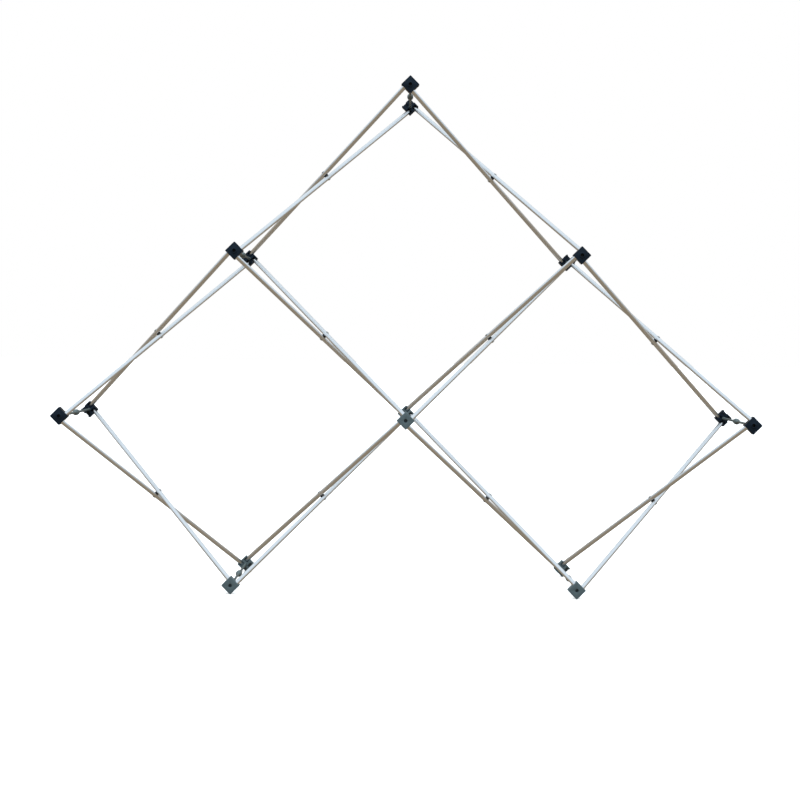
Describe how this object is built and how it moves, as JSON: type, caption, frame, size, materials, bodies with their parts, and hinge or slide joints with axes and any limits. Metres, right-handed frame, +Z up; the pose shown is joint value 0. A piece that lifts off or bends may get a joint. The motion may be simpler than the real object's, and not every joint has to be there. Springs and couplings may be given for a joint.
{
  "type": "tabletop pop-up display frame",
  "caption": "Folding scissor frame of crossed aluminium tubes on moulded hubs, with snap locks between its two layers, that stands on a table and carries a display graphic.",
  "frame": {"origin": "middle of the footprint on the table top", "axes": "+Z up, +X to the right as seen from the front, front faces -Y"},
  "size_m": [1.4756, 0.3042, 1.0789],
  "materials": {
    "black_hub": "fine moulded grain, satin",
    "slate_hub": "fine moulded grain, satin",
    "lock_grey": "satin moulded",
    "tube_aluminium": "clear anodised, drawn along its length"
  },
  "bodies": {
    "front_hub_top": {"front_hub_top": "black_hub", "lock_socket_top": "lock_grey"},
    "rear_hub_top": {"rear_hub_top": "black_hub", "lock_stud_top": "lock_grey"},
    "front_hub_middle_right": {"front_hub_middle_right": "black_hub", "lock_socket_middle_right": "lock_grey"},
    "rear_hub_middle_right": {"rear_hub_middle_right": "black_hub", "lock_stud_middle_right": "lock_grey"},
    "front_hub_middle_left": {"front_hub_middle_left": "black_hub", "lock_socket_middle_left": "lock_grey"},
    "rear_hub_middle_left": {"rear_hub_middle_left": "black_hub", "lock_stud_middle_left": "lock_grey"},
    "front_hub_right": {"front_hub_right": "black_hub", "lock_socket_right": "lock_grey"},
    "rear_hub_right": {"rear_hub_right": "black_hub", "lock_stud_right": "lock_grey"},
    "front_hub_centre": {"front_hub_centre": "slate_hub", "lock_socket_centre": "lock_grey"},
    "rear_hub_centre": {"rear_hub_centre": "slate_hub", "lock_stud_centre": "lock_grey"},
    "front_hub_left": {"front_hub_left": "black_hub", "lock_socket_left": "lock_grey"},
    "rear_hub_left": {"rear_hub_left": "black_hub", "lock_stud_left": "lock_grey"},
    "front_hub_bottom_right": {"front_hub_bottom_right": "slate_hub", "lock_socket_bottom_right": "lock_grey"},
    "rear_hub_bottom_right": {"rear_hub_bottom_right": "slate_hub", "lock_stud_bottom_right": "lock_grey"},
    "front_hub_bottom_left": {"front_hub_bottom_left": "slate_hub", "lock_socket_bottom_left": "lock_grey"},
    "rear_hub_bottom_left": {"rear_hub_bottom_left": "slate_hub", "lock_stud_bottom_left": "lock_grey"},
    "tube_top_to_middle_right": {"tube_top_to_middle_right": "tube_aluminium"},
    "tube_middle_right_to_top": {"tube_middle_right_to_top": "tube_aluminium"},
    "tube_top_to_middle_left": {"tube_top_to_middle_left": "tube_aluminium"},
    "tube_middle_left_to_top": {"tube_middle_left_to_top": "tube_aluminium"},
    "tube_middle_right_to_right": {"tube_middle_right_to_right": "tube_aluminium"},
    "tube_right_to_middle_right": {"tube_right_to_middle_right": "tube_aluminium"},
    "tube_middle_right_to_centre": {"tube_middle_right_to_centre": "tube_aluminium"},
    "tube_centre_to_middle_right": {"tube_centre_to_middle_right": "tube_aluminium"},
    "tube_middle_left_to_centre": {"tube_middle_left_to_centre": "tube_aluminium"},
    "tube_centre_to_middle_left": {"tube_centre_to_middle_left": "tube_aluminium"},
    "tube_middle_left_to_left": {"tube_middle_left_to_left": "tube_aluminium"},
    "tube_left_to_middle_left": {"tube_left_to_middle_left": "tube_aluminium"},
    "tube_right_to_bottom_right": {"tube_right_to_bottom_right": "tube_aluminium"},
    "tube_bottom_right_to_right": {"tube_bottom_right_to_right": "tube_aluminium"},
    "tube_centre_to_bottom_right": {"tube_centre_to_bottom_right": "tube_aluminium"},
    "tube_bottom_right_to_centre": {"tube_bottom_right_to_centre": "tube_aluminium"},
    "tube_centre_to_bottom_left": {"tube_centre_to_bottom_left": "tube_aluminium"},
    "tube_bottom_left_to_centre": {"tube_bottom_left_to_centre": "tube_aluminium"},
    "tube_left_to_bottom_left": {"tube_left_to_bottom_left": "tube_aluminium"},
    "tube_bottom_left_to_left": {"tube_bottom_left_to_left": "tube_aluminium"}
  },
  "joints": [
    {"name": "frame_fold", "type": "hinge", "parent": "front_hub_bottom_left", "child": "tube_bottom_left_to_centre", "pos_m": [-0.34848, -0.14064, 0.02155], "axis": [-0.6947, 0, 0.7193], "range_deg": [0, 57.61]},
    {"name": "tube_bottom_left_to_left_front_pin", "type": "hinge", "parent": "front_hub_bottom_left", "child": "tube_bottom_left_to_left", "pos_m": [-0.36315, -0.14064, 0.02953], "axis": [-0.6947, 0, -0.7193], "range_deg": [0, 57.61]},
    {"name": "rear_hub_centre_pin", "type": "hinge", "parent": "tube_bottom_left_to_centre", "child": "rear_hub_centre", "pos_m": [-0.00348, 0.14064, 0.35471], "axis": [0.6947, 0, -0.7193], "range_deg": [0, 57.61]},
    {"name": "rear_hub_left_pin", "type": "hinge", "parent": "tube_bottom_left_to_left", "child": "rear_hub_left", "pos_m": [-0.70815, 0.14064, 0.36269], "axis": [0.6947, 0, 0.7193], "range_deg": [0, 57.61]},
    {"name": "tube_middle_right_to_centre_rear_pin", "type": "hinge", "parent": "rear_hub_centre", "child": "tube_middle_right_to_centre", "pos_m": [0.00348, 0.14064, 0.37686], "axis": [0.6947, 0, -0.7193], "range_deg": [0, 57.61]},
    {"name": "tube_middle_left_to_centre_rear_pin", "type": "hinge", "parent": "rear_hub_centre", "child": "tube_middle_left_to_centre", "pos_m": [-0.01119, 0.14064, 0.36888], "axis": [0.6947, 0, 0.7193], "range_deg": [0, 57.61]},
    {"name": "tube_bottom_right_to_centre_rear_pin", "type": "hinge", "parent": "rear_hub_centre", "child": "tube_bottom_right_to_centre", "pos_m": [0.01119, 0.14064, 0.36269], "axis": [-0.6947, 0, -0.7193], "range_deg": [0, 57.61]},
    {"name": "tube_middle_left_to_left_rear_pin", "type": "hinge", "parent": "rear_hub_left", "child": "tube_middle_left_to_left", "pos_m": [-0.71586, 0.14064, 0.37686], "axis": [0.6947, 0, -0.7193], "range_deg": [0, 57.61]},
    {"name": "front_hub_middle_right_pin", "type": "hinge", "parent": "tube_middle_right_to_centre", "child": "front_hub_middle_right", "pos_m": [0.34848, -0.14064, 0.71002], "axis": [-0.6947, 0, 0.7193], "range_deg": [0, 57.61]},
    {"name": "front_hub_middle_left_pin", "type": "hinge", "parent": "tube_middle_left_to_centre", "child": "front_hub_middle_left", "pos_m": [-0.35619, -0.14064, 0.70204], "axis": [-0.6947, 0, -0.7193], "range_deg": [0, 57.61]},
    {"name": "front_hub_bottom_right_pin", "type": "hinge", "parent": "tube_bottom_right_to_centre", "child": "front_hub_bottom_right", "pos_m": [0.35619, -0.14064, 0.02953], "axis": [0.6947, 0, 0.7193], "range_deg": [0, 57.61]},
    {"name": "tube_middle_right_to_top_front_pin", "type": "hinge", "parent": "front_hub_middle_right", "child": "tube_middle_right_to_top", "pos_m": [0.35619, -0.14064, 0.72419], "axis": [-0.6947, 0, -0.7193], "range_deg": [0, 57.61]},
    {"name": "tube_middle_right_to_right_front_pin", "type": "hinge", "parent": "front_hub_middle_right", "child": "tube_middle_right_to_right", "pos_m": [0.36315, -0.14064, 0.70204], "axis": [0.6947, 0, 0.7193], "range_deg": [0, 57.61]},
    {"name": "tube_middle_left_to_top_front_pin", "type": "hinge", "parent": "front_hub_middle_left", "child": "tube_middle_left_to_top", "pos_m": [-0.34848, -0.14064, 0.71621], "axis": [-0.6947, 0, 0.7193], "range_deg": [0, 57.61]},
    {"name": "tube_bottom_right_to_right_front_pin", "type": "hinge", "parent": "front_hub_bottom_right", "child": "tube_bottom_right_to_right", "pos_m": [0.37086, -0.14064, 0.02155], "axis": [-0.6947, 0, 0.7193], "range_deg": [0, 57.61]},
    {"name": "rear_hub_top_pin", "type": "hinge", "parent": "tube_middle_right_to_top", "child": "rear_hub_top", "pos_m": [0.01119, 0.14064, 1.05735], "axis": [0.6947, 0, 0.7193], "range_deg": [0, 57.61]},
    {"name": "rear_hub_right_pin", "type": "hinge", "parent": "tube_middle_right_to_right", "child": "rear_hub_right", "pos_m": [0.70815, 0.14064, 0.36888], "axis": [-0.6947, 0, -0.7193], "range_deg": [0, 57.61]},
    {"name": "crossing_rivet_centre_bottom_left", "type": "hinge", "parent": "tube_bottom_left_to_centre", "child": "tube_centre_to_bottom_left", "pos_m": [-0.17983, 0, 0.19212], "axis": [0.6947, 0, -0.7193], "range_deg": [0, 115.22]},
    {"name": "front_hub_centre_pin", "type": "hinge", "parent": "tube_centre_to_bottom_left", "child": "front_hub_centre", "pos_m": [-0.01119, -0.14064, 0.36269], "axis": [-0.6947, 0, 0.7193], "range_deg": [0, 57.61]},
    {"name": "rear_hub_bottom_left_pin", "type": "hinge", "parent": "tube_centre_to_bottom_left", "child": "rear_hub_bottom_left", "pos_m": [-0.35619, 0.14064, 0.02953], "axis": [-0.6947, 0, 0.7193], "range_deg": [0, 57.61]},
    {"name": "tube_centre_to_middle_right_front_pin", "type": "hinge", "parent": "front_hub_centre", "child": "tube_centre_to_middle_right", "pos_m": [0.01119, -0.14064, 0.36888], "axis": [-0.6947, 0, 0.7193], "range_deg": [0, 57.61]},
    {"name": "tube_centre_to_middle_left_front_pin", "type": "hinge", "parent": "front_hub_centre", "child": "tube_centre_to_middle_left", "pos_m": [-0.00348, -0.14064, 0.37686], "axis": [-0.6947, 0, -0.7193], "range_deg": [0, 57.61]},
    {"name": "tube_centre_to_bottom_right_front_pin", "type": "hinge", "parent": "front_hub_centre", "child": "tube_centre_to_bottom_right", "pos_m": [0.00348, -0.14064, 0.35471], "axis": [0.6947, 0, 0.7193], "range_deg": [0, 57.61]},
    {"name": "tube_left_to_bottom_left_rear_pin", "type": "hinge", "parent": "rear_hub_bottom_left", "child": "tube_left_to_bottom_left", "pos_m": [-0.37086, 0.14064, 0.02155], "axis": [0.6947, 0, 0.7193], "range_deg": [0, 57.61]},
    {"name": "rear_hub_middle_right_pin", "type": "hinge", "parent": "tube_centre_to_middle_right", "child": "rear_hub_middle_right", "pos_m": [0.35619, 0.14064, 0.70204], "axis": [0.6947, 0, -0.7193], "range_deg": [0, 57.61]},
    {"name": "rear_hub_middle_left_pin", "type": "hinge", "parent": "tube_centre_to_middle_left", "child": "rear_hub_middle_left", "pos_m": [-0.34848, 0.14064, 0.71002], "axis": [0.6947, 0, 0.7193], "range_deg": [0, 57.61]},
    {"name": "rear_hub_bottom_right_pin", "type": "hinge", "parent": "tube_centre_to_bottom_right", "child": "rear_hub_bottom_right", "pos_m": [0.34848, 0.14064, 0.02155], "axis": [-0.6947, 0, -0.7193], "range_deg": [0, 57.61]},
    {"name": "front_hub_left_pin", "type": "hinge", "parent": "tube_left_to_bottom_left", "child": "front_hub_left", "pos_m": [-0.71586, -0.14064, 0.35471], "axis": [-0.6947, 0, -0.7193], "range_deg": [0, 57.61]},
    {"name": "tube_top_to_middle_right_rear_pin", "type": "hinge", "parent": "rear_hub_middle_right", "child": "tube_top_to_middle_right", "pos_m": [0.34848, 0.14064, 0.71621], "axis": [0.6947, 0, 0.7193], "range_deg": [0, 57.61]},
    {"name": "tube_right_to_middle_right_rear_pin", "type": "hinge", "parent": "rear_hub_middle_right", "child": "tube_right_to_middle_right", "pos_m": [0.37086, 0.14064, 0.71002], "axis": [-0.6947, 0, -0.7193], "range_deg": [0, 57.61]},
    {"name": "tube_top_to_middle_left_rear_pin", "type": "hinge", "parent": "rear_hub_middle_left", "child": "tube_top_to_middle_left", "pos_m": [-0.35619, 0.14064, 0.72419], "axis": [0.6947, 0, -0.7193], "range_deg": [0, 57.61]},
    {"name": "tube_left_to_middle_left_rear_pin", "type": "hinge", "parent": "rear_hub_middle_left", "child": "tube_left_to_middle_left", "pos_m": [-0.36315, 0.14064, 0.70204], "axis": [-0.6947, 0, 0.7193], "range_deg": [0, 57.61]},
    {"name": "tube_right_to_bottom_right_rear_pin", "type": "hinge", "parent": "rear_hub_bottom_right", "child": "tube_right_to_bottom_right", "pos_m": [0.36315, 0.14064, 0.02953], "axis": [0.6947, 0, -0.7193], "range_deg": [0, 57.61]},
    {"name": "front_hub_top_pin", "type": "hinge", "parent": "tube_top_to_middle_right", "child": "front_hub_top", "pos_m": [0.00348, -0.14064, 1.04937], "axis": [-0.6947, 0, -0.7193], "range_deg": [0, 57.61]},
    {"name": "front_hub_right_pin", "type": "hinge", "parent": "tube_right_to_middle_right", "child": "front_hub_right", "pos_m": [0.71586, -0.14064, 0.37686], "axis": [0.6947, 0, 0.7193], "range_deg": [0, 57.61]}
  ],
  "couplings": [
    {"joint": "tube_bottom_left_to_left_front_pin", "follows": "frame_fold", "ratio": 1},
    {"joint": "rear_hub_centre_pin", "follows": "frame_fold", "ratio": 1},
    {"joint": "rear_hub_left_pin", "follows": "frame_fold", "ratio": 1},
    {"joint": "tube_middle_right_to_centre_rear_pin", "follows": "frame_fold", "ratio": 1},
    {"joint": "tube_middle_left_to_centre_rear_pin", "follows": "frame_fold", "ratio": 1},
    {"joint": "tube_bottom_right_to_centre_rear_pin", "follows": "frame_fold", "ratio": 1},
    {"joint": "tube_middle_left_to_left_rear_pin", "follows": "frame_fold", "ratio": 1},
    {"joint": "front_hub_middle_right_pin", "follows": "frame_fold", "ratio": 1},
    {"joint": "front_hub_middle_left_pin", "follows": "frame_fold", "ratio": 1},
    {"joint": "front_hub_bottom_right_pin", "follows": "frame_fold", "ratio": 1},
    {"joint": "tube_middle_right_to_top_front_pin", "follows": "frame_fold", "ratio": 1},
    {"joint": "tube_middle_right_to_right_front_pin", "follows": "frame_fold", "ratio": 1},
    {"joint": "tube_middle_left_to_top_front_pin", "follows": "frame_fold", "ratio": 1},
    {"joint": "tube_bottom_right_to_right_front_pin", "follows": "frame_fold", "ratio": 1},
    {"joint": "rear_hub_top_pin", "follows": "frame_fold", "ratio": 1},
    {"joint": "rear_hub_right_pin", "follows": "frame_fold", "ratio": 1},
    {"joint": "crossing_rivet_centre_bottom_left", "follows": "frame_fold", "ratio": 2},
    {"joint": "front_hub_centre_pin", "follows": "frame_fold", "ratio": 1},
    {"joint": "rear_hub_bottom_left_pin", "follows": "frame_fold", "ratio": 1},
    {"joint": "tube_centre_to_middle_right_front_pin", "follows": "frame_fold", "ratio": 1},
    {"joint": "tube_centre_to_middle_left_front_pin", "follows": "frame_fold", "ratio": 1},
    {"joint": "tube_centre_to_bottom_right_front_pin", "follows": "frame_fold", "ratio": 1},
    {"joint": "tube_left_to_bottom_left_rear_pin", "follows": "frame_fold", "ratio": 1},
    {"joint": "rear_hub_middle_right_pin", "follows": "frame_fold", "ratio": 1},
    {"joint": "rear_hub_middle_left_pin", "follows": "frame_fold", "ratio": 1},
    {"joint": "rear_hub_bottom_right_pin", "follows": "frame_fold", "ratio": 1},
    {"joint": "front_hub_left_pin", "follows": "frame_fold", "ratio": 1},
    {"joint": "tube_top_to_middle_right_rear_pin", "follows": "frame_fold", "ratio": 1},
    {"joint": "tube_right_to_middle_right_rear_pin", "follows": "frame_fold", "ratio": 1},
    {"joint": "tube_top_to_middle_left_rear_pin", "follows": "frame_fold", "ratio": 1},
    {"joint": "tube_left_to_middle_left_rear_pin", "follows": "frame_fold", "ratio": 1},
    {"joint": "tube_right_to_bottom_right_rear_pin", "follows": "frame_fold", "ratio": 1},
    {"joint": "front_hub_top_pin", "follows": "frame_fold", "ratio": 1},
    {"joint": "front_hub_right_pin", "follows": "frame_fold", "ratio": 1}
  ]
}
